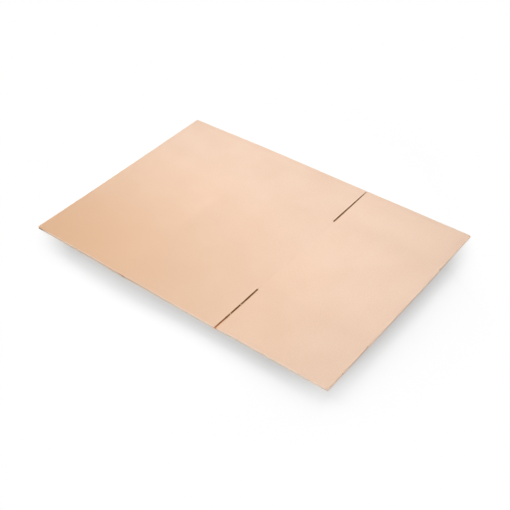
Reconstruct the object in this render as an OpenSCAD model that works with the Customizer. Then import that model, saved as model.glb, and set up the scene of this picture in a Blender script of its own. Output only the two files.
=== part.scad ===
// Flattened shipping box: a regular slotted box before it is opened. One sheet of corrugated board is
// creased and slotted, glued into a tube along one edge, folded flat and laid on its underside.
// X runs across the panels, Y along the flutes and Z up from the surface that the box lies on.
// The upper layer is a long panel and then a short one, the lower layer a short panel and then a long one.

/* [Panels] */
// Width of a long side panel, from crease to crease
long_panel = 590; // [450:1:700]
// Width of a short side panel, from crease to crease
short_panel = 302; // [220:1:400]
// Height of the side panels, from flap score to flap score
panel_height = 317.5; // [200:0.5:450]

/* [Board] */
// Thickness of the corrugated board
board = 2.5; // [2.2:0.1:4]
// Thickness of each flat liner
liner = 0.35; // [0.3:0.05:0.5]
// Thickness of the fluted medium between the liners
medium = 0.3; // [0.15:0.05:0.4]
// Distance from one flute to the next
flute_pitch = 6.5; // [6:0.1:9]
// Gap between the two layers where they lie on each other
layer_gap = 0.2; // [0.1:0.1:1]

/* [Slots and creases] */
// Width of the slots between the flaps, and of the panel creases in line with them
slot_width = 3.2; // [2.5:0.1:5]
// How far the slots run past the flap scores into the panels
slot_overcut = 4; // [2:0.5:8]
// Length of the notch between each end of a fold and the flaps beside it
corner_notch = 4; // [2:0.5:8]
// Depth that a panel crease is pressed into each face
crease_depth = 0.4; // [0.2:0.05:0.7]
// Width of the scores that the flaps fold along
score_width = 3; // [2:0.1:5]
// Depth of those scores
score_depth = 0.2; // [0.1:0.05:0.25]

/* [Glued joint] */
// Width of the glue tab
tab_width = 35; // [25:1:50]
// Thickness of the glue tab, whose flutes are crushed
tab_board = 1.8; // [1:0.1:2.2]
// How far each end of the tab slants in
tab_slant = 8; // [4:1:15]

/* [Hidden] */
$fn = 64;
kraft = [0.93, 0.80, 0.70];
// Each flap reaches half way over the end of the box
flap_depth = (short_panel + board) / 2;
sheet_depth = panel_height + 2 * flap_depth;
// The slots end here, and so do the folds, the crease and the glue tab between them
slot_end = panel_height / 2 - slot_overcut;
// Lines across the box: its two folds, the crease in the upper layer and the joint in the lower one
fold_right = (long_panel + short_panel) / 2;
fold_left = -fold_right;
crease_x = fold_left + long_panel;
joint_x = fold_left + short_panel;
half_slot = slot_width / 2;
tab_root = joint_x - half_slot;
tab_tip = tab_root - tab_width;
// Levels of the upper layer's two faces beside the folds
upper_base = board + layer_gap;
upper_top = upper_base + board;
fold_radius = upper_top / 2;
// The outer liner keeps its length round a fold, so the flaps beside a slot reach this far past the panels
flap_reach = (PI * fold_radius - slot_width) / 2;
// Half of the flat where the medium lies on a liner, as a share of the pitch
crest_share = 0.09;
crest = crest_share * flute_pitch;
// Folds, crease, tab and crushed flap edges run into the solid edges of the panels by this much
lap = liner / 2;
// Where the upper long panel leaves the level of the folds and comes back to it
rise_start = fold_left + lap;
rise_end = crease_x - half_slot - lap;
// Every cut runs past the face that it starts from by this much
overrun = 1;

// How far the upper long panel stands up where it passes over the glue tab
function rise(x, lift) =
    lift * lookup(x, [[rise_start, 0], [tab_tip, 1], [joint_x, 1], [rise_end, 0]]);

// Stretches a section along the flutes
module along_flutes(depth) {
    rotate([90, 0, 0])
        linear_extrude(depth, center = true)
            children();
}

// One open flute, wide at the liner that it lies on and narrow at the bend of the medium
module flute(x, z, way, lift) {
    wide = flute_pitch / 2 - crest;
    narrow = crest - medium / 2;
    height = way * (board - 2 * liner - medium);
    corners = [[-wide, 0], [wide, 0], [narrow, height], [-narrow, height]];
    polygon([for (c = corners) [x + c[0], z + c[1] + rise(x + c[0], lift)]]);
}

// Section of one panel: two liners with the flutes open between them
module panel_section(x0, x1, base, lift) {
    flutes = floor((x1 - x0) / flute_pitch);
    start = (x0 + x1 - flutes * flute_pitch) / 2;
    bends = lift > 0 ? [x0, rise_start, tab_tip, joint_x, rise_end, x1] : [x0, x1];
    last = len(bends) - 1;
    difference() {
        polygon(concat(
            [for (x = bends) [x, base + rise(x, lift)]],
            [for (i = [last : -1 : 0]) [bends[i], base + board + rise(bends[i], lift)]]
        ));
        for (i = [0 : flutes - 1])
            flute(start + (i + 1 / 2) * flute_pitch, base + board - liner, -1, lift);
        for (i = [1 : flutes - 1])
            flute(start + i * flute_pitch, base + liner, 1, lift);
    }
}

// A panel and its two flaps, in one length from edge to edge of the sheet
module panel(x0, x1, base, lift = 0) {
    along_flutes(sheet_depth)
        panel_section(x0, x1, base, lift);
}

// Half turn of the board from the lower layer to the upper one, open to the left
module fold_section() {
    reach = fold_radius + overrun;
    difference() {
        circle(r = fold_radius);
        circle(r = layer_gap / 2);
        translate([-reach, -reach])
            square([reach, 2 * reach]);
    }
    for (z = [-fold_radius, layer_gap / 2])
        translate([-lap, z])
            square([lap, board]);
}

// Both folds, from slot to slot
module folds() {
    for (turn = [0, 1])
        mirror([turn, 0, 0])
            along_flutes(2 * slot_end)
                translate([fold_right, fold_radius])
                    fold_section();
}

// Edges of the eight flaps beside the folds, where the slotting knife has crushed the flutes
module flap_edges() {
    start = slot_end + corner_notch;
    for (turn = [0, 1], end = [0, 1], base = [0, upper_base])
        mirror([turn, 0, 0])
            mirror([0, end, 0])
                translate([fold_right - lap, start, base])
                    cube([lap + flap_reach, sheet_depth / 2 - start, board]);
}

// Crushed board between the two upper panels, with a round groove pressed into each face
module crease() {
    groove_radius = (half_slot ^ 2 + crease_depth ^ 2) / (2 * crease_depth);
    reach = groove_radius - crease_depth;
    along_flutes(2 * slot_end)
        translate([crease_x, upper_base])
            difference() {
                translate([-half_slot - lap, 0])
                    square([slot_width + 2 * lap, board]);
                for (z = [-reach, board + reach])
                    translate([0, z])
                        circle(r = groove_radius);
            }
}

// Glue tab on the inside of the lower short panel, and the bend that joins it to the long one
module glue_tab() {
    tip = slot_end - tab_slant;
    bend_end = tab_root + slot_width;
    heel = bend_end + lap;
    tab_top = board + tab_board;
    intersection() {
        along_flutes(2 * slot_end)
            polygon([
                [tab_tip, board - lap], [tab_root, board - lap], [bend_end, board - tab_board],
                [heel, board - tab_board], [heel, board], [bend_end, board],
                [tab_root, tab_top], [tab_tip, tab_top]
            ]);
        linear_extrude(tab_top)
            polygon([
                [heel, -slot_end], [heel, slot_end], [tab_root, slot_end],
                [tab_tip, tip], [tab_tip, -tip], [tab_root, -slot_end]
            ]);
    }
}

// Shallow scores across both faces of the folded sheet, at one end of the panels
module flap_scores(y) {
    left = fold_left - fold_radius - overrun;
    right = fold_right + fold_radius + overrun;
    bends = [left, rise_start, tab_tip, joint_x, rise_end, right];
    translate([0, y, 0])
        along_flutes(score_width) {
            polygon(concat(
                [for (x = bends) [x, upper_top - score_depth + rise(x, tab_board)]],
                [[right, upper_top + tab_board + overrun], [left, upper_top + tab_board + overrun]]
            ));
            translate([left, -overrun])
                square([right - left, score_depth + overrun]);
        }
}

module flattened_box() {
    color(kraft)
        difference() {
            union() {
                panel(fold_left, crease_x - half_slot, upper_base, tab_board);
                panel(crease_x + half_slot, fold_right, upper_base);
                panel(fold_left, joint_x - half_slot, 0);
                panel(joint_x + half_slot, fold_right, 0);
                folds();
                flap_edges();
                crease();
                glue_tab();
            }
            for (end = [-1, 1])
                flap_scores(end * panel_height / 2);
        }
}

flattened_box();
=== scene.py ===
"""Flattened shipping box, finished for display.

A sheet of corrugated board is laid out as a flat blank made of its three papers, cut and pressed like the
real one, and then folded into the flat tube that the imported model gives. Lengths are in metres.
"""

import math
from collections import namedtuple
from itertools import accumulate

import bmesh
import bpy
from bpy.props import FloatProperty, FloatVectorProperty, PointerProperty
from mathutils import Color, Matrix, Vector


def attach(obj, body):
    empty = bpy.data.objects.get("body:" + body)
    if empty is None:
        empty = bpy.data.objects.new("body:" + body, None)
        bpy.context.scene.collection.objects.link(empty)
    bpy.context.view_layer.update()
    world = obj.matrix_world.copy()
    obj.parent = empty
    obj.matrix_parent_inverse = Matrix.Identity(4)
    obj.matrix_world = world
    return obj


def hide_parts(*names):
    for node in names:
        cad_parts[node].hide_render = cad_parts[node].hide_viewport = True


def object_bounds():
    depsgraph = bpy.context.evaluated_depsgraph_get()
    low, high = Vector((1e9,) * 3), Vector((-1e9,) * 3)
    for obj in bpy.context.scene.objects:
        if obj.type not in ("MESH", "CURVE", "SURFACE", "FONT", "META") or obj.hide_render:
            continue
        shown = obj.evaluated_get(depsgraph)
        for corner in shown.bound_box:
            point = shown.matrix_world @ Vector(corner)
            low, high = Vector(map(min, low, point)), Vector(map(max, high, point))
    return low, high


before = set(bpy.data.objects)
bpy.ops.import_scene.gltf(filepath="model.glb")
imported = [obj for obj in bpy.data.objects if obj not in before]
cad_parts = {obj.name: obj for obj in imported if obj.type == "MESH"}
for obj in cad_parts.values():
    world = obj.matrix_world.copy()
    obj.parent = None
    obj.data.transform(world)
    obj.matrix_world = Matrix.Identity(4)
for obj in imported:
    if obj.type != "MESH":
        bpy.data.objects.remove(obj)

bl_info = {
    "name": "Flattened Shipping Box",
    "version": (1, 0, 0),
    "blender": (4, 5, 0),
    "location": "View3D > Sidebar > Flat Box",
    "description": "Folds a corrugated blank into a flat shipping box and lights it",
    "category": "Add Mesh",
}

CAD_LOW, CAD_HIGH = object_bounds()
NODE = "flattened_box"
PIECE = "folded_board"
UV_NAME = "blank"
RIM_NAME = "rim"
DARK_TONE_NAME = "stain"
SLOT_LIGHT_NAME = "rust"
# Places of the papers' materials in the piece's list
OUTSIDE, INSIDE, MEDIUM = range(3)
MM = 0.001
WHITE = (1.0, 1.0, 1.0, 1.0)

# Half of the flat grid that a paper starts from, which is one unit wide
GRID_HALF = 0.5
# Distances from a cut edge at which the papers have a grid line
EDGE_LINES = (0.8 * MM, 2 * MM, 5 * MM)
# Places across a flap score, as shares of its width, at which the liners have a grid line
SCORE_LINE_SHARES = (-1, -0.5, -0.25, 0, 0.25, 0.5, 1)
# Steps round a fold, across a crease and along one wave of the medium
FOLD_STEPS = 12
CREASE_STEPS = 8
FLUTE_STEPS = 8
# Largest steps of the liners across and along the flutes, and of the medium along them
LINER_STEP = 13 * MM
LINER_ROW_STEP = 20 * MM
MEDIUM_ROW_STEP = 80 * MM
# Part of a step that rounding may add to a whole number of them
STEP_SLACK = 0.00002
# Part of a wave's step that its lines keep from the lines of the cuts
WAVE_CLEARANCE = 0.25
# The pressed band at a cut has faded out after this many of its widths
PRESS_REACH = 2
# How far the crests of the medium sink into the glue on the liners
GLUE_BITE = 0.02 * MM
# The flutes are shut round a fold, and open again this many lengths of the turn from its middle
PINCH_REACH = 1.5
SMOOTH_ANGLE = math.radians(40)

# How far the knife shuts the flutes that it cuts along, and the part of that where it cuts across them
CRUSH_SHARE = 0.8
END_CRUSH = 0.5
# The front flaps reach furthest forward here, and draw in between these distances from it
BOW_MIDDLE = -20 * MM
BOW_START = 165 * MM
BOW_END = 215 * MM
# The back flaps draw in from here to both sides
BACK_BOW_START = 200 * MM
# Part of the way from the middle to the left fold at which the front left flaps begin to spring up
LEFT_LIFT_START = 0.5
# How the spring grows along a flap, and the part of it that the lower flaps follow
LIFT_POWER = 1.5
LOWER_LIFT = 0.6
# Reach of the lean of the flaps beside the upper slots
LEAN_WIDTH = 80 * MM
# Part of a front flap's length after which it leans in full, and how the lean of the back one grows
LEAN_START = 0.25
TAPER_POWER = 2

# A sliver of paper that the knife left: its place along the cut, width at the root, slant, reach and darker
# tone
Sliver = namedtuple("Sliver", "place width slant reach soil")
SLOT_SLIVERS = (
    Sliver(-219 * MM, 4 * MM, 0.6 * MM, 3.5 * MM, 0.0),
    Sliver(-255 * MM, 5.5 * MM, -4 * MM, 3.5 * MM, 0.25),
)
EDGE_SLIVERS = (
    Sliver(-224 * MM, 8 * MM, -1 * MM, 1.35 * MM, 0.0),
    Sliver(-236 * MM, 6 * MM, 2 * MM, 1.35 * MM, 0.0),
    Sliver(-253 * MM, 6 * MM, 0.0, 0.7 * MM, 0.9),
)
# How much a sliver narrows, hangs down and is torn back towards its tip, and how close the tears are
SLIVER_TAPER = 0.6
SLIVER_DROOP = 0.6 * MM
SLIVER_TEAR = 0.4
TEAR_PITCH = 2.3 * MM
# Part of the paper's thickness that stays above and below a sliver at its root
SLIVER_SPLIT = 0.15
SLIVER_STEPS = (5, 8)

# Reach of the painted shade beside a slot, and over the inside face behind it, in slot widths from its
# middle
SLOT_SHADE_REACH = 0.9 * MM
SHADE_BEHIND_SLOT = 2
# Length over which the painted shade in the slots grows lighter towards their open ends, and the part of it
# that goes
SLOT_SHADE_FADE = 48 * MM
SLOT_SHADE_FADE_SHARE = 0.5
# Reach of the painted light, the orange brown of the lit inside at the open ends of the front slots, and its
# share where it is strongest
SLOT_LIGHT_REACH = 64 * MM
SLOT_LIGHT_SHARE = 0.64
# Reach of the darker tone along the front edge from its left corner, and its share there
CORNER_DARK_REACH = 45 * MM
CORNER_DARK_SHARE = 0.85

# Scale, detail and roughness of the noise in the papers, and the value that it wavers about
CLOUDS = (11, 3, 0.5)
MOTTLE = (240, 4, 0.65)
FLECKS = (1500, 2, 0.5)
DARK_PATCHES = (90, 2, 0.5)
FIBRE_NOISE = (1, 3, 0.6)
NOISE_MEAN = 0.5
# Length and width of the fibres, and their turn from the run of the paper
LONG_FIBRES = (5 * MM, 0.35 * MM, math.radians(4))
SHORT_FIBRES = (1.6 * MM, 0.16 * MM, math.radians(-9))
# Noise layers from the fibres of one paper to those of the next
FIBRE_LAYERS = 3
# How much the clouds, the mottle, the fibres and the flutes deepen the tone of a paper
CLOUD_TONE = 0.5
MOTTLE_TONE = 0.7
LONG_TONE = 0.9
SHORT_TONE = 0.7
RIB_TONE = 0.03
# How high they stand out of its face, in millimetres
LONG_RELIEF = 0.02
SHORT_RELIEF = 0.012
MOTTLE_RELIEF = 0.015
RIB_RELIEF = 0.004
# Two values of the noise, and the shares of flecks, loose fibres, or painted shade and darker marks, at them
FLECK_RAMP = (0.7, 0.78, 0.0, 0.6)
RIM_RAMP = (0.35, 0.65, 0.6, 1.0)
DARK_RAMP = (0.35, 0.55, 0.75, 1.0)
# Reach of the painted shade, a darker and browner tone, from the front left corner along each axis, and its
# share there
CORNER_SHADE_REACH = (1.07, 0.58, 1.0)
CORNER_SHADE_SHARE = 0.92
ROUGHNESS = 0.82
MOTTLE_ROUGHNESS = 0.16
SPECULAR = 0.2

# The floor lies a hair below the box and reaches this far to each side
FLOOR_DROP = 0.1 * MM
FLOOR_REACH = 60
# The shadow fades out between these distances from the box, to the sides in the view and all round
SHADOW_SIDES = (430 * MM, 560 * MM)
SHADOW_REACH = (420 * MM, 680 * MM)
# Place and width of the lamp overhead
OVERHEAD_PLACE = Vector((-160 * MM, -90 * MM, 1400 * MM))
OVERHEAD_WIDTH = 1000 * MM
# Direction of the low lamp in front, from straight in front of the box, and its spread
FRONT_TURN = math.radians(17)
FRONT_ELEVATION = math.radians(8)
FRONT_SPREAD = math.radians(16)
# Directions of the lamps that cast the shadow, from straight behind the box in the view, and their spread
SHADOW_TURNS = (math.radians(-20), math.radians(7), math.radians(34))
SHADOW_ELEVATION = math.radians(5)
SHADOW_SPREAD = math.radians(10)
# Width of the camera's sensor in millimetres
SENSOR_WIDTH = 36


def bell(offset, width):
    """One at no offset, falling smoothly to nothing within a few widths."""
    return math.exp(-((offset / width) ** 2))


def ease(value):
    """Smooth step from 0 to 1 with flat ends."""
    value = min(max(value, 0.0), 1.0)
    return value * value * (3 - 2 * value)


def lines_between(marks, step):
    """Grid lines through every mark, with equal stretches no longer than the step between them."""
    lines = [marks[0]]
    for start, end in zip(marks, marks[1:]):
        count = max(1, math.ceil((end - start) / step - STEP_SLACK))
        lines += [start + (end - start) * i / count for i in range(1, count + 1)]
    return lines


def bearing(azimuth, elevation):
    """Direction to a place that is turned from straight in front of the box, and raised."""
    level = math.cos(elevation)
    return Vector((math.sin(azimuth) * level, -math.cos(azimuth) * level, math.sin(elevation)))


def linear(shown):
    """Scene-linear value of a colour that is written as it looks."""
    return (*Color(shown).from_srgb_to_scene_linear(), 1.0)


def length(name, description, default):
    """A length that a user can change."""
    return FloatProperty(name=name, description=description, default=default, unit="LENGTH", precision=5)


def angle(name, description, degrees):
    """An angle that a user can change."""
    return FloatProperty(name=name, description=description, default=math.radians(degrees), subtype="ANGLE")


def share(name, description, default):
    """A part of a whole that a user can change."""
    return FloatProperty(
        name=name, description=description, default=default, subtype="FACTOR", min=0, max=1
    )


def colour(name, description, default):
    """A colour that a user can change, written as it looks."""
    return FloatVectorProperty(
        name=name, description=description, default=default, subtype="COLOR_GAMMA", min=0, max=1
    )


class BoardSizes(bpy.types.PropertyGroup):
    """Sizes of the board and of the blank that is cut from it."""

    length: length("Length", "Over both folds", CAD_HIGH.x - CAD_LOW.x)
    depth: length("Depth", "From flap edge to flap edge, along the flutes", CAD_HIGH.y - CAD_LOW.y)
    long_panel: length("Long panel", "From crease to crease", 590 * MM)
    board: length("Board", "Thickness of the board", 2.5 * MM)
    liner: length("Liner", "Thickness of each flat paper", 0.35 * MM)
    medium: length("Medium", "Thickness of the fluted paper", 0.3 * MM)
    flute_pitch: length("Flute pitch", "From one flute to the next", 6.5 * MM)
    layer_gap: length("Layer gap", "Between the two layers", 0.2 * MM)
    slot_width: length("Slot width", "Of the slots between the flaps and of the crease", 3.2 * MM)
    crease_depth: length("Crease depth", "Pressed into each face", 0.4 * MM)
    score_width: length("Score width", "Of the lines that the flaps fold along", 5 * MM)
    score_depth: length("Score depth", "Pressed into each face", 0.08 * MM)
    cut_press: length("Cut press", "How far the knife presses each face at a cut edge", 0.06 * MM)
    cut_width: length("Cut width", "Width of the pressed band at a cut edge", 1.6 * MM)
    crush_width: length("Crush width", "Width of the band where the knife crushes the flutes shut", 1 * MM)
    tab_width: length("Tab width", "Of the glue tab", 35 * MM)
    tab_board: length("Tab board", "Thickness of the crushed glue tab", 1.8 * MM)
    tab_slant: length("Tab slant", "How far each end of the tab slants in", 8 * MM)
    left_fold_slot: length("Left fold slot", "Width of the slots in line with the left fold", 5 * MM)
    right_fold_slot: length("Right fold slot", "Width of the slots in line with the right fold", 5.8 * MM)
    slot_overcut: length("Slot overcut", "How far the slots run past the flap scores", 4 * MM)
    corner_relief: length("Corner relief", "Cut out between a fold and its flaps", 4 * MM)
    corner_round: length("Corner round", "Radius that the flap corners are worn to", 3.5 * MM)
    front_bow: length("Front bow", "How far the front flaps draw in towards both sides", 2 * MM)
    back_bow: length("Back bow", "How far the back flaps draw in towards both sides", 1.2 * MM)
    slot_taper: length("Slot taper", "How much the upper back slot narrows towards its open end", 2 * MM)
    slot_lean: length("Slot lean", "How far the upper front slot leans to the right", 0.6 * MM)
    left_lift: length("Left lift", "How far the front left flap corners spring up", 1.2 * MM)
    right_lift: length("Right lift", "How far the front right flap springs up", 0.6 * MM)


class BoardColours(bpy.types.PropertyGroup):
    """Colours of the papers."""

    kraft: colour("Kraft", "Outside of the board", (0.972, 0.857, 0.771))
    kraft_deep: colour("Deep kraft", "Between the pale fibres of the outside", (0.93, 0.793, 0.692))
    # Painted shade: the outside turns darker and browner towards the front left corner, where the light
    # falls off
    corner_shade: colour("Corner shade kraft", "Browner tone towards the front left corner", (0.862, 0.7, 0.56))
    inside: colour("Inside", "Inside of the board", (0.9, 0.765, 0.655))
    inside_deep: colour("Deep inside", "Between the pale fibres of the inside", (0.84, 0.69, 0.57))
    medium: colour("Medium", "Fluted paper", (0.91, 0.79, 0.68))
    medium_deep: colour("Deep medium", "Between the pale fibres of the fluted paper", (0.85, 0.71, 0.59))
    fleck: colour("Fleck", "Bark and shive flecks", (0.66, 0.5, 0.38))
    raw_edge: colour("Raw edge", "Loose fibres at the cut ends of the flutes", (0.93, 0.87, 0.81))
    # Painted shade in the slots and on the inside face seen through them, and darker marks at the front left
    # corner and on some slivers
    stain: colour("Stain", "Painted shade in the slots, and darker marks", (0.53, 0.32, 0.0))
    # Painted light: the lit orange brown inside of the front slots at their open ends
    rust: colour("Rust", "Orange brown at the open ends of the front slots", (0.85, 0.53, 0.24))


class StageSettings(bpy.types.PropertyGroup):
    """Camera, light and floor."""

    azimuth: angle("Azimuth", "Of the camera", 39.6)
    elevation: angle("Elevation", "Of the camera", 41.1)
    roll: angle("Roll", "Of the camera", -2.0)
    distance: length("Distance", "From the camera to the middle of the box", 2269 * MM)
    aside: length("Aside", "How far the middle of the box lies right of the view's axis", -9.9 * MM)
    above: length("Above", "How far the middle of the box lies above the view's axis", 59.3 * MM)
    lens: FloatProperty(name="Lens", description="Focal length", default=63.88, unit="CAMERA")
    sky: share("Sky", "Light on the box from all round", 0.376)
    overhead: share("Overhead", "Light on the box from the lamp above it", 0.38)
    front: share("Front", "Light on the box from the low lamp in front", 0.06)
    behind: share("Behind", "Light on the floor from the low lamps that cast the shadow", 0.76)
    floor_white: share("Floor white", "How much light the floor returns", 0.615)
    floor_bounce: share("Floor bounce", "Light from the floor on the box on top of that", 0.75)


class Blank:
    """The cut sheet before it is folded.

    s runs across the panels from the free edge of the lower short panel to the tip of the glue tab, y runs
    along the flutes, and q runs up through the board from its inside face to its outside face.
    """

    def __init__(self, sizes):
        self.sizes = sizes
        slot = sizes.slot_width
        self.fold_radius = sizes.board + sizes.layer_gap / 2
        self.fold_x = sizes.length / 2 - self.fold_radius
        short_panel = 2 * self.fold_x - sizes.long_panel
        flap_depth = (short_panel + sizes.board) / 2
        self.half_depth = sizes.depth / 2
        self.root = self.half_depth - flap_depth
        self.slot_end = self.root - sizes.slot_overcut
        self.relief_end = self.slot_end + sizes.corner_relief
        # The outer paper keeps its length round a fold
        self.turn = math.pi * self.fold_radius
        short_run = short_panel - slot / 2
        long_run = sizes.long_panel - slot / 2
        runs = (short_run, self.turn, long_run, slot, short_run, self.turn, long_run, slot, sizes.tab_width)
        self.stations = list(accumulate(runs, initial=0.0))
        (
            self.free_edge, self.left_start, self.left_end, self.crease_start, self.crease_end,
            self.right_start, self.right_end, self.joint_start, self.tab_root, self.tab_tip,
        ) = self.stations
        self.crease = (self.crease_start + self.crease_end) / 2
        self.slot_x = self.fold_x - (self.right_start - self.crease)
        self.free_x = short_run - self.fold_x
        self.upper_base = sizes.board + sizes.layer_gap
        self.left_slot = (self.left_start + self.left_end) / 2
        self.right_slot = (self.right_start + self.right_end) / 2
        # Both side edges of the four flaps at each end of the sheet
        self.flaps = (
            (self.free_edge, self.left_slot - sizes.left_fold_slot / 2),
            (self.left_slot + sizes.left_fold_slot / 2, self.crease_start),
            (self.crease_end, self.right_slot - sizes.right_fold_slot / 2),
            (self.right_slot + sizes.right_fold_slot / 2, self.joint_start),
        )
        # Start and end of the turns from one layer to the other, which a slot parts between the flaps
        self.panel_turns = (self.left_start, self.left_end, self.right_start, self.right_end)
        self.flap_turns = (self.left_slot, self.left_slot, self.right_slot, self.right_slot)

    def is_cut(self, s, y):
        """True where the blank has no board: in the slots and beside the glue tab."""
        if abs(y) < self.slot_end:
            return False
        if abs(y) < self.relief_end and (
            self.left_start < s < self.left_end or self.right_start < s < self.right_end
        ):
            return True
        return not any(start < s < end for start, end in self.flaps)

    def edge_distance(self, s, y):
        """Distance from a point of the blank to the nearest cut edge."""
        edges = [self.free_edge, self.tab_tip]
        if abs(y) > self.slot_end:
            edges += [edge for flap in self.flaps for edge in flap]
        return min(self.half_depth - abs(y), *(abs(s - edge) for edge in edges))

    def along_flap(self, y):
        """Part of a flap's length that lies between its score and a point."""
        return max(abs(y) - self.root, 0.0) / (self.half_depth - self.root)

    def press(self, s, y):
        """How far each face is pressed in by the crease, the flap scores and the knife."""
        sizes = self.sizes
        depth = sizes.cut_press * bell(self.edge_distance(s, y), sizes.cut_width)
        depth = max(depth, sizes.score_depth * bell(abs(y) - self.root, sizes.score_width / 2))
        if abs(y) <= self.slot_end:
            depth = max(depth, sizes.crease_depth * bell(s - self.crease, sizes.slot_width / 2))
        return depth

    def crushed(self, q, s, y):
        """Level of a face inside the board, which the knife presses to the middle along its cuts."""
        if abs(y) < self.slot_end:
            return q
        width = self.sizes.crush_width
        along = max(bell(s - edge, width) for flap in self.flaps for edge in flap)
        across = END_CRUSH * bell(self.half_depth - abs(y), width)
        return q + (self.sizes.board / 2 - q) * CRUSH_SHARE * max(along, across)

    def end_cut(self, y):
        """One on the cuts across the flutes, which leave loose pale fibres."""
        return float(self.half_depth - abs(y) < EDGE_LINES[0] / 2)

    def dark_and_lit(self, s, x, y, q):
        """Painted shade in and behind the slots, painted light at the open ends of the front ones, and a
        darker front left corner.
        """
        sizes = self.sizes
        if abs(y) < self.slot_end:
            return 0.0, 0.0
        edges = (self.free_edge, self.crease_start, self.crease_end, self.joint_start)
        # Painted shade along the walls of the slots
        soil = bell(min(abs(s - edge) for edge in edges), SLOT_SHADE_REACH)
        # Painted shade on the inside face that shows through the upper slots
        if q < sizes.board / 2:
            behind = self.slot_x if s > self.right_end else -self.slot_x
            if s > self.left_end and abs(x - behind) < SHADE_BEHIND_SLOT * sizes.slot_width:
                soil = 1.0
        inward = self.half_depth - abs(y)
        # Painted light where light comes in at the open ends of the front slots
        rust = soil * soil * ease(1 - inward / SLOT_LIGHT_REACH) if y < 0 else 0.0
        # The painted shade grows lighter towards the open ends of the slots
        soil *= 1 - SLOT_SHADE_FADE_SHARE * ease(1 - inward / SLOT_SHADE_FADE)
        # A darker tone along the front edge at its left corner
        if y < 0 and self.end_cut(y):
            soil = max(soil, CORNER_DARK_SHARE * ease(1 - (x + sizes.length / 2) / CORNER_DARK_REACH))
        return soil, rust

    def soften(self, s, y):
        """Rounds the corners of the flaps where they are worn."""
        if abs(y) < self.relief_end:
            return s, y
        for start, end in self.flaps:
            if start <= s <= end:
                radius = self.sizes.corner_round
                near, away = (start, 1) if s - start < end - s else (end, -1)
                across = 1 - abs(s - near) / radius
                along = 1 - (self.half_depth - abs(y)) / radius
                if across > 0 and along > 0:
                    s = near + away * radius * (1 - across * math.sqrt(1 - along * along / 2))
                    y = math.copysign(
                        self.half_depth - radius * (1 - along * math.sqrt(1 - across * across / 2)), y
                    )
        return s, y

    def rise(self, x):
        """How far the upper long panel stands up where it passes over the glue tab."""
        tab_left = self.free_x - self.sizes.tab_width
        crease_x = self.fold_x - (self.right_start - self.crease_start)
        climb = ease((x + self.fold_x) / (tab_left + self.fold_x))
        fall = ease((crease_x - x) / (crease_x - self.free_x))
        return self.sizes.tab_board * min(climb, fall)

    def lift(self, x, y):
        """How far the outer corners of the front flaps spring up."""
        if y > 0:
            return 0.0
        leftward = (-x / self.fold_x - LEFT_LIFT_START) / (1 - LEFT_LIFT_START)
        high = self.sizes.left_lift * ease(leftward) + self.sizes.right_lift * ease(x / self.fold_x)
        return high * self.along_flap(y) ** LIFT_POWER

    def draw_in(self, x, y):
        """How far the end of a flap moves along the flutes, towards the middle of the sheet."""
        if y < 0:
            aside = (abs(x - BOW_MIDDLE) - BOW_START) / (BOW_END - BOW_START)
            return self.sizes.front_bow * self.along_flap(y) * ease(aside)
        aside = (abs(x) - BACK_BOW_START) / (self.fold_x - BACK_BOW_START)
        return -self.sizes.back_bow * self.along_flap(y) * ease(aside)

    def lean(self, s, y):
        """How far the upper flaps lean beside a slot: both at the front, and the right one at the back."""
        near = bell(s - self.crease, LEAN_WIDTH)
        if y < 0:
            return self.sizes.slot_lean * ease(self.along_flap(y) / LEAN_START) * near
        if s < self.crease:
            return 0.0
        return -self.sizes.slot_taper * self.along_flap(y) ** TAPER_POWER * near

    def place(self, s, y, q):
        """Folded place of one point of the blank."""
        sizes = self.sizes
        on_flap = abs(y) > (self.slot_end + self.relief_end) / 2
        left_from, left_to, right_from, right_to = self.flap_turns if on_flap else self.panel_turns
        radius = sizes.layer_gap / 2 + q
        if s < left_from:
            x = self.free_x - s
            z = sizes.board - q + LOWER_LIFT * self.lift(x, y)
        elif s < left_to:
            turned = math.pi * (s - left_from) / self.turn
            x = -self.fold_x - radius * math.sin(turned)
            z = self.fold_radius - radius * math.cos(turned)
        elif s < right_from:
            x = s - self.left_end - self.fold_x
            z = self.upper_base + q + self.rise(x) + self.lift(x, y)
            x += self.lean(s, y)
        elif s < right_to:
            turned = math.pi * (s - right_from) / self.turn
            x = self.fold_x + radius * math.sin(turned)
            z = self.fold_radius + radius * math.cos(turned)
        else:
            x = self.fold_x - (s - self.right_end)
            z = sizes.board - q + LOWER_LIFT * self.lift(x, y)
        if s > self.joint_start:
            on_tab = ease((s - self.joint_start) / (self.tab_root - self.joint_start))
            tab_z = sizes.board + sizes.tab_board * (1 - q / sizes.board)
            z += (tab_z - z) * on_tab
            slant = sizes.tab_slant * max(s - self.tab_root, 0.0) / sizes.tab_width
            y *= 1 - slant / self.slot_end
        return Vector((x, y + self.draw_in(x, y), z))

    def flute_height(self, s):
        """Height of the middle of the medium in the board, and its slope, at one place across the blank."""
        sizes = self.sizes
        swing = (sizes.board - sizes.medium) / 2 - sizes.liner + GLUE_BITE
        pinched = max(
            bell(s - self.crease, sizes.slot_width),
            ease(PINCH_REACH - abs(s - self.left_slot) / self.turn),
            ease(PINCH_REACH - abs(s - self.right_slot) / self.turn),
        )
        swing *= 1 - pinched
        phase = 2 * math.pi * s / sizes.flute_pitch
        slope = -swing * math.sin(phase) * 2 * math.pi / sizes.flute_pitch
        return sizes.board / 2 + swing * math.cos(phase), slope

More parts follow.
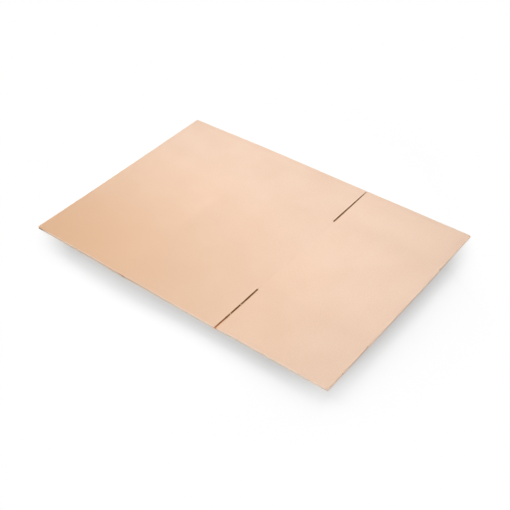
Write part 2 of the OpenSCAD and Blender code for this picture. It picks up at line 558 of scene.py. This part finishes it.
    def cross_marks(self):
        """Places across the blank that need a grid line: stations, flap edges and the lines beside them."""
        marks = set(self.stations)
        for start, end in self.flaps:
            marks |= {start + offset for offset in (0.0, *EDGE_LINES)}
            marks |= {end - offset for offset in (0.0, *EDGE_LINES)}
        for start in (self.left_start, self.right_start):
            marks |= {start + self.turn * i / FOLD_STEPS for i in range(FOLD_STEPS)}
        for start in (self.crease_start, self.joint_start):
            marks |= {start + self.sizes.slot_width * i / CREASE_STEPS for i in range(CREASE_STEPS)}
        return sorted(marks)

    def liner_lines(self):
        """Grid lines of a liner, across the blank and along the flutes."""
        marks = {0.0}
        for side in (-1, 1):
            marks |= {side * (self.half_depth - offset) for offset in (0.0, *EDGE_LINES)}
            marks |= {side * (self.root + part * self.sizes.score_width) for part in SCORE_LINE_SHARES}
            marks |= {side * self.slot_end, side * self.relief_end}
        rows = lines_between(sorted(marks), LINER_ROW_STEP)
        return lines_between(self.cross_marks(), LINER_STEP), rows

    def medium_lines(self):
        """Grid lines of the medium, across the blank and along the flutes."""
        step = self.sizes.flute_pitch / FLUTE_STEPS
        marks = set(self.stations) | {edge for flap in self.flaps for edge in flap}
        waves = [i * step for i in range(math.floor(self.tab_tip / step) + 1)]
        clear = {s for s in waves if min(abs(s - mark) for mark in marks) > WAVE_CLEARANCE * step}
        pressed = self.half_depth - PRESS_REACH * self.sizes.cut_width
        rows = {0.0}
        for side in (-1, 1):
            rows |= {side * row for row in (self.slot_end, self.relief_end, pressed, self.half_depth)}
        return sorted(marks | clear), lines_between(sorted(rows), MEDIUM_ROW_STEP)


class Wire:
    """A node's output that takes part in sums, each of which adds a Math node."""

    def __init__(self, graph, socket):
        self.graph = graph
        self.socket = socket

    def output(self, name):
        """Another output of the same node."""
        return Wire(self.graph, self.socket.node.outputs[name])

    def __add__(self, other):
        return self.graph.maths("ADD", self, other)

    def __sub__(self, other):
        return self.graph.maths("SUBTRACT", self, other)

    def __rsub__(self, other):
        return self.graph.maths("SUBTRACT", other, self)

    def __mul__(self, other):
        return self.graph.maths("MULTIPLY", self, other)

    __radd__ = __add__
    __rmul__ = __mul__


class Graph:
    """The node tree of a material or of the world."""

    def __init__(self, owner):
        owner.use_nodes = True
        self.tree = owner.node_tree
        self.tree.nodes.clear()

    def add(self, kind, settings=None, inputs=None, output=0):
        """Adds a node: its settings come first, then the values or links of its sockets."""
        node = self.tree.nodes.new(kind)
        for name, value in (settings or {}).items():
            setattr(node, name, value)
        for key, value in (inputs or {}).items():
            if isinstance(value, Wire):
                self.tree.links.new(value.socket, node.inputs[key])
            else:
                node.inputs[key].default_value = value
        return Wire(self, node.outputs[output] if node.outputs else None)

    def maths(self, operation, *values):
        """Outcome of a sum on values."""
        return self.add("ShaderNodeMath", {"operation": operation}, dict(enumerate(values)))

    def measure(self, operation, *vectors):
        """Value that a sum on vectors gives, such as a length."""
        settings = {"operation": operation}
        return self.add("ShaderNodeVectorMath", settings, dict(enumerate(vectors)), output="Value")

    def attribute(self, name):
        """Value that the corners of the piece carry."""
        return self.add("ShaderNodeAttribute", {"attribute_name": name}, output="Fac")

    def mix(self, factor, first, second):
        """Colour between two colours."""
        return self.add("ShaderNodeMix", {"data_type": "RGBA"}, {0: factor, 6: first, 7: second}, output=2)

    def ramp(self, value, low, high, to_low=0.0, to_high=1.0):
        """Smooth change from one value to another as the input goes from low to high."""
        settings = {"interpolation_type": "SMOOTHSTEP", "clamp": True}
        return self.add("ShaderNodeMapRange", settings, {0: value, 1: low, 2: high, 3: to_low, 4: to_high})

    def noise(self, place, scale, detail, roughness):
        """Cloudy value."""
        inputs = {"Vector": place, "Scale": scale, "Detail": detail, "Roughness": roughness}
        return self.add("ShaderNodeTexNoise", {"noise_dimensions": "3D"}, inputs)

    def mapped(self, place, **inputs):
        """Place in a pattern that is moved, turned and stretched."""
        return self.add("ShaderNodeMapping", {"vector_type": "TEXTURE"}, {"Vector": place, **inputs})

    def fibres(self, place, along, across, turn, layer):
        """Streaks of one length and width, turned from the run of the paper."""
        streaks = self.mapped(
            place, Location=(0, 0, layer), Rotation=(0, 0, turn), Scale=(along, across, 1)
        )
        return self.noise(streaks, *FIBRE_NOISE)

    def seen(self):
        """One for the camera and for what it sees in gloss or through glass, and nothing for the light."""
        rays = self.add("ShaderNodeLightPath", output="Is Camera Ray")
        indirect = rays.output("Is Glossy Ray") + rays.output("Is Transmission Ray")
        return self.maths("MAXIMUM", rays, indirect)


def paper_material(name, pale, deep, sizes, colours, layer, corner_shade):
    """Uncoated paper: pulp clouds, fibres that lie across the flutes, flecks, painted shade and light,
    darker marks and a faint washboard.
    """
    material = bpy.data.materials.new(name)
    graph = Graph(material)
    blank = graph.add("ShaderNodeUVMap", {"uv_map": UV_NAME})
    across = graph.add("ShaderNodeSeparateXYZ", None, {0: blank})
    clouds = graph.noise(blank, *CLOUDS)
    mottle = graph.noise(blank, *MOTTLE)
    long_fibres = graph.fibres(blank, *LONG_FIBRES, layer)
    short_fibres = graph.fibres(blank, *SHORT_FIBRES, layer + 1)
    ribs = graph.maths("COSINE", across * (2 * math.pi / sizes.flute_pitch))

    tone = NOISE_MEAN + CLOUD_TONE * (clouds - NOISE_MEAN) + MOTTLE_TONE * (mottle - NOISE_MEAN)
    tone = tone + LONG_TONE * (long_fibres - NOISE_MEAN) + SHORT_TONE * (short_fibres - NOISE_MEAN)
    tone = tone - RIB_TONE * ribs
    paint = graph.mix(graph.ramp(tone, 0.0, 1.0), linear(pale), linear(deep))
    # Painted shade: darker and browner towards the front left corner
    if corner_shade:
        place = graph.add("ShaderNodeTexCoord", output="Object")
        corner = graph.mapped(place, Location=(CAD_LOW.x, CAD_LOW.y, 0), Scale=CORNER_SHADE_REACH)
        away = graph.measure("LENGTH", corner)
        paint = graph.mix(graph.ramp(away, 0.0, 1.0, CORNER_SHADE_SHARE, 0.0), paint, linear(colours.corner_shade))
    specks = graph.ramp(graph.noise(blank, *FLECKS), *FLECK_RAMP)
    paint = graph.mix(specks, paint, linear(colours.fleck))
    loose = graph.attribute(RIM_NAME) * graph.ramp(short_fibres, *RIM_RAMP)
    paint = graph.mix(loose, paint, linear(colours.raw_edge))
    # Painted shade in the slots, and darker marks, in patches
    soil = graph.attribute(DARK_TONE_NAME) * graph.ramp(graph.noise(blank, *DARK_PATCHES), *DARK_RAMP)
    paint = graph.mix(soil, paint, linear(colours.stain))
    # Painted light at the open ends of the front slots
    rust = SLOT_LIGHT_SHARE * graph.attribute(SLOT_LIGHT_NAME)
    paint = graph.mix(rust, paint, linear(colours.rust))

    height = LONG_RELIEF * long_fibres + SHORT_RELIEF * short_fibres
    height = height + MOTTLE_RELIEF * mottle + RIB_RELIEF * ribs
    bump = graph.add("ShaderNodeBump", None, {"Strength": 1.0, "Distance": MM, "Height": height})
    surface = graph.add("ShaderNodeBsdfPrincipled", None, {
        "Base Color": paint,
        "Roughness": ROUGHNESS + MOTTLE_ROUGHNESS * mottle,
        "Specular IOR Level": SPECULAR,
        "Normal": bump,
    })
    graph.add("ShaderNodeOutputMaterial", None, {"Surface": surface})
    return material


def add_object(name, data):
    """A new object in the scene."""
    thing = bpy.data.objects.new(name, data)
    bpy.context.scene.collection.objects.link(thing)
    return thing


def flat_grid(sheet, steps, place_at):
    """Faces of a flat grid whose corners go where place_at puts their shares across and along it."""
    columns, rows = steps
    grid = bmesh.ops.create_grid(sheet, x_segments=columns, y_segments=rows, size=GRID_HALF)["verts"]
    for corner in grid:
        corner.co = (*place_at(corner.co.x + GRID_HALF, corner.co.y + GRID_HALF), 0)
    return {face for corner in grid for face in corner.link_faces}


def lay_paper(sheet, blank, lines, faces_at, material):
    """One paper of the blank: a grid on the given lines, cut to shape and folded."""
    across, along = lines
    columns, rows = len(across) - 1, len(along) - 1

    def on_lines(right, up):
        return across[round(right * columns)], along[round(up * rows)]

    faces = flat_grid(sheet, (columns, rows), on_lines)
    cut = {face for face in faces if blank.is_cut(*face.calc_center_median().xy)}
    faces -= cut
    bmesh.ops.delete(sheet, geom=list(cut), context="FACES")
    fold_paper(sheet, blank, faces, faces_at, material, blank.dark_and_lit)


def lay_sliver(sheet, blank, cut, sliver, base, material):
    """A sliver of paper that hangs on a cut edge and narrows to its torn tip."""
    paper = blank.sizes.liner
    inset = SLIVER_SPLIT * paper

    def torn_place(out, along):
        aside = sliver.width * (along - GRID_HALF)
        torn = 1 - SLIVER_TEAR * math.sin(math.pi * (sliver.place + aside) / TEAR_PITCH) ** 2
        y = sliver.place + sliver.slant * out + aside * (1 - SLIVER_TAPER * out ** 2)
        return cut - inset + (sliver.reach * torn + inset) * out, y

    def torn_faces(s, y):
        droop = SLIVER_DROOP * (max(s - cut, 0.0) / sliver.reach) ** 2
        return base + inset - droop, base + (1 - SLIVER_SPLIT) * paper - droop

    # Each sliver is evenly darker by its own share
    def evenly_darkened(s, x, y, q):
        return sliver.soil, 0.0

    faces = flat_grid(sheet, SLIVER_STEPS, torn_place)
    fold_paper(sheet, blank, faces, torn_faces, material, evenly_darkened)


def fold_paper(sheet, blank, faces, faces_at, material, dark_and_lit_at):
    """Thickens flat faces of the blank, presses them and folds them into place."""
    lower = {corner for face in faces for corner in face.verts}
    made = bmesh.ops.extrude_face_region(sheet, geom=list(faces), use_keep_orig=True)["geom"]
    upper = {item for item in made if isinstance(item, bmesh.types.BMVert)}
    shell = {face for corner in lower | upper for face in corner.link_faces}

    uv_layer = sheet.loops.layers.uv.verify()
    for face in shell:
        face.material_index = material
        face.smooth = True
        for loop in face.loops:
            loop[uv_layer].uv = loop.vert.co.xy

    rim_layer = sheet.verts.layers.float[RIM_NAME]
    dark_tone_layer = sheet.verts.layers.float[DARK_TONE_NAME]
    slot_light_layer = sheet.verts.layers.float[SLOT_LIGHT_NAME]
    middle = blank.sizes.board / 2
    for corners, side in ((lower, 0), (upper, 1)):
        for corner in corners:
            s, y, _ = corner.co
            q = faces_at(s, y)[side]
            q += blank.press(s, y) * (1 - q / middle)
            corner.co = blank.place(*blank.soften(s, y), q)
            corner[rim_layer] = blank.end_cut(y)
            # Painted shade and darker marks, and painted light at the slots
            corner[dark_tone_layer], corner[slot_light_layer] = dark_and_lit_at(s, corner.co.x, y, q)
    bmesh.ops.recalc_face_normals(sheet, faces=list(shell))


def folded_board(sizes, colours):
    """The whole box as one folded sheet of board."""
    blank = Blank(sizes)
    sheet = bmesh.new()
    for name in (RIM_NAME, DARK_TONE_NAME, SLOT_LIGHT_NAME):
        sheet.verts.layers.float.new(name)
    outer_base = sizes.board - sizes.liner

    def outer_faces(s, y):
        return blank.crushed(outer_base, s, y), sizes.board

    def inner_faces(s, y):
        return 0.0, blank.crushed(sizes.liner, s, y)

    def medium_faces(s, y):
        middle, slope = blank.flute_height(s)
        half = sizes.medium / 2 * math.hypot(1, slope)
        return blank.crushed(middle - half, s, y), blank.crushed(middle + half, s, y)

    lay_paper(sheet, blank, blank.liner_lines(), outer_faces, OUTSIDE)
    lay_paper(sheet, blank, blank.liner_lines(), inner_faces, INSIDE)
    lay_paper(sheet, blank, blank.medium_lines(), medium_faces, MEDIUM)
    for sliver in SLOT_SLIVERS:
        lay_sliver(sheet, blank, blank.crease_start, sliver, outer_base, OUTSIDE)
    _, upper_right_edge = blank.flaps[2]
    for sliver in EDGE_SLIVERS:
        lay_sliver(sheet, blank, upper_right_edge, sliver, 0.0, OUTSIDE)

    mesh = bpy.data.meshes.new(PIECE)
    sheet.to_mesh(mesh)
    sheet.free()
    mesh.uv_layers[0].name = UV_NAME
    mesh.set_sharp_from_angle(angle=SMOOTH_ANGLE)
    papers = (
        ("kraft_outside", colours.kraft, colours.kraft_deep),
        ("kraft_inside", colours.inside, colours.inside_deep),
        ("fluted_medium", colours.medium, colours.medium_deep),
    )
    for i, (name, pale, deep) in enumerate(papers):
        paper = paper_material(name, pale, deep, sizes, colours, FIBRE_LAYERS * i, i == OUTSIDE)
        mesh.materials.append(paper)
    return add_object(PIECE, mesh)


class FLATBOX_OT_folded_board(bpy.types.Operator):
    """Lay out the papers of the blank, cut and press them, and fold the sheet flat"""

    bl_idname = "flatbox.folded_board"
    bl_label = "Folded Board"

    def execute(self, context):
        scene = context.scene
        piece = folded_board(scene.flatbox_sizes, scene.flatbox_colours)
        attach(piece, "root")
        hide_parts(NODE)
        return {"FINISHED"}


def floor_material(settings):
    """White floor that keeps the shadow near the box and is plain white to the eye further away."""
    material = bpy.data.materials.new("studio_floor")
    graph = Graph(material)
    white = settings.floor_white
    matt = graph.add("ShaderNodeBsdfDiffuse", None, {"Color": (white, white, white, 1)})
    bounce = graph.add("ShaderNodeEmission", None, {"Color": WHITE, "Strength": settings.floor_bounce})
    bright = graph.add("ShaderNodeAddShader", None, {0: matt, 1: bounce})
    plain = graph.add("ShaderNodeEmission", None, {"Color": WHITE, "Strength": 1.0})
    place = graph.add("ShaderNodeTexCoord", output="Object")
    right = (math.cos(settings.azimuth), math.sin(settings.azimuth), 0)
    away = graph.measure("LENGTH", place)
    aside = graph.maths("ABSOLUTE", graph.measure("DOT_PRODUCT", place, right))
    clear = graph.maths("MAXIMUM", graph.ramp(away, *SHADOW_REACH), graph.ramp(aside, *SHADOW_SIDES))
    near = graph.add("ShaderNodeMixShader", None, {0: clear, 1: matt, 2: plain})
    shown = graph.add("ShaderNodeMixShader", None, {0: graph.seen(), 1: bright, 2: near})
    graph.add("ShaderNodeOutputMaterial", None, {"Surface": shown})
    return material


def add_floor(settings):
    """Wide plain floor, a hair below the box."""
    flat = bmesh.new()
    bmesh.ops.create_grid(flat, x_segments=1, y_segments=1, size=FLOOR_REACH)
    bmesh.ops.translate(flat, verts=flat.verts, vec=(0, 0, -FLOOR_DROP))
    mesh = bpy.data.meshes.new("studio_floor")
    flat.to_mesh(mesh)
    flat.free()
    mesh.materials.append(floor_material(settings))
    floor = add_object("studio_floor", mesh)
    return floor


def add_sky(settings):
    """Even light from all round, which the camera sees as white."""
    world = bpy.data.worlds.new("studio_sky")
    bpy.context.scene.world = world
    graph = Graph(world)
    even = graph.add("ShaderNodeBackground", None, {"Color": WHITE, "Strength": settings.sky})
    white = graph.add("ShaderNodeBackground", None, {"Color": WHITE, "Strength": 1.0})
    shown = graph.add("ShaderNodeMixShader", None, {0: graph.seen(), 1: even, 2: white})
    graph.add("ShaderNodeOutputWorld", None, {"Surface": shown})


def add_lamp(name, kind, place, power, lights_only=None, **settings):
    """A lamp at a place, turned towards the box and hidden from the camera."""
    lamp = bpy.data.lights.new(name, kind)
    lamp.energy = power
    for key, value in settings.items():
        setattr(lamp, key, value)
    holder = add_object(name, lamp)
    holder.location = place
    holder.rotation_euler = place.to_track_quat("Z", "Y").to_euler()
    holder.visible_camera = False
    if lights_only:
        receivers = bpy.data.collections.new(name + "_receivers")
        receivers.objects.link(lights_only)
        holder.light_linking.receiver_collection = receivers


def add_low_lamp(name, azimuth, elevation, light, lights_only, spread):
    """A far lamp near the ground, which shows level white ground with this share of full white."""
    power = light * math.pi / math.sin(elevation)
    add_lamp(name, "SUN", bearing(azimuth, elevation), power, lights_only, angle=spread)


def add_lamps(settings, floor):
    """A soft lamp overhead, a low one in front for the near edges, and low ones behind for the shadow."""
    # Power at which the lamp shows a white face below it with this share of full white
    power = settings.overhead * math.pi ** 2 * OVERHEAD_PLACE.z ** 2
    add_lamp("overhead_lamp", "AREA", OVERHEAD_PLACE, power, shape="DISK", size=OVERHEAD_WIDTH)
    box = bpy.data.objects[PIECE]
    add_low_lamp("front_lamp", FRONT_TURN, FRONT_ELEVATION, settings.front, box, FRONT_SPREAD)
    behind = settings.azimuth + math.pi
    light = settings.behind / len(SHADOW_TURNS)
    for i, turn in enumerate(SHADOW_TURNS):
        add_low_lamp(f"shadow_lamp_{i}", behind + turn, SHADOW_ELEVATION, light, floor, SHADOW_SPREAD)


def add_camera(settings, sizes):
    """Camera at the viewing angle, framing the box a little above the middle of the picture."""
    roll = settings.roll
    right = Vector((math.cos(settings.azimuth), math.sin(settings.azimuth), 0))
    back = bearing(settings.azimuth, settings.elevation)
    up = back.cross(right)
    tilted_right = math.cos(roll) * right + math.sin(roll) * up
    tilted_up = math.cos(roll) * up - math.sin(roll) * right
    upper_face = 2 * sizes.board + sizes.layer_gap
    place = Vector((0, 0, upper_face)) + settings.distance * back
    place -= settings.aside * tilted_right + settings.above * tilted_up
    lens = bpy.data.cameras.new("photo_camera")
    lens.sensor_width = SENSOR_WIDTH
    lens.lens = settings.lens
    camera = add_object("photo_camera", lens)
    turn = Matrix((tilted_right, tilted_up, back)).transposed().to_4x4()
    camera.matrix_world = Matrix.Translation(place) @ turn
    bpy.context.scene.camera = camera


class FLATBOX_OT_stage(bpy.types.Operator):
    """Set up the floor, the light and the camera"""

    bl_idname = "flatbox.stage"
    bl_label = "Stage"

    def execute(self, context):
        scene = context.scene
        settings = scene.flatbox_stage
        floor = add_floor(settings)
        add_sky(settings)
        add_lamps(settings, floor)
        add_camera(settings, scene.flatbox_sizes)
        scene.view_settings.view_transform = "Standard"
        return {"FINISHED"}


class FLATBOX_PT_tools(bpy.types.Panel):
    """Sizes, colours and steps of the flat box"""

    bl_label = "Flat Box"
    bl_idname = "FLATBOX_PT_tools"
    bl_space_type = "VIEW_3D"
    bl_region_type = "UI"
    bl_category = "Flat Box"

    def draw(self, context):
        scene = context.scene
        for group in (scene.flatbox_sizes, scene.flatbox_colours, scene.flatbox_stage):
            column = self.layout.column(align=True)
            for name in group.__annotations__:
                column.prop(group, name)
        self.layout.operator(FLATBOX_OT_folded_board.bl_idname)
        self.layout.operator(FLATBOX_OT_stage.bl_idname)


CLASSES = (
    BoardSizes, BoardColours, StageSettings, FLATBOX_OT_folded_board, FLATBOX_OT_stage, FLATBOX_PT_tools,
)
GROUPS = {"flatbox_sizes": BoardSizes, "flatbox_colours": BoardColours, "flatbox_stage": StageSettings}


def register():
    """Adds the classes, and the groups of properties to the scene."""
    for cls in CLASSES:
        bpy.utils.register_class(cls)
    for name, group in GROUPS.items():
        setattr(bpy.types.Scene, name, PointerProperty(type=group))


def unregister():
    """Takes away what register adds."""
    for name in GROUPS:
        delattr(bpy.types.Scene, name)
    for cls in reversed(CLASSES):
        bpy.utils.unregister_class(cls)


def main():
    """Builds the box and its stage."""
    register()
    bpy.ops.flatbox.folded_board()
    bpy.ops.flatbox.stage()


if __name__ == "__main__":
    main()
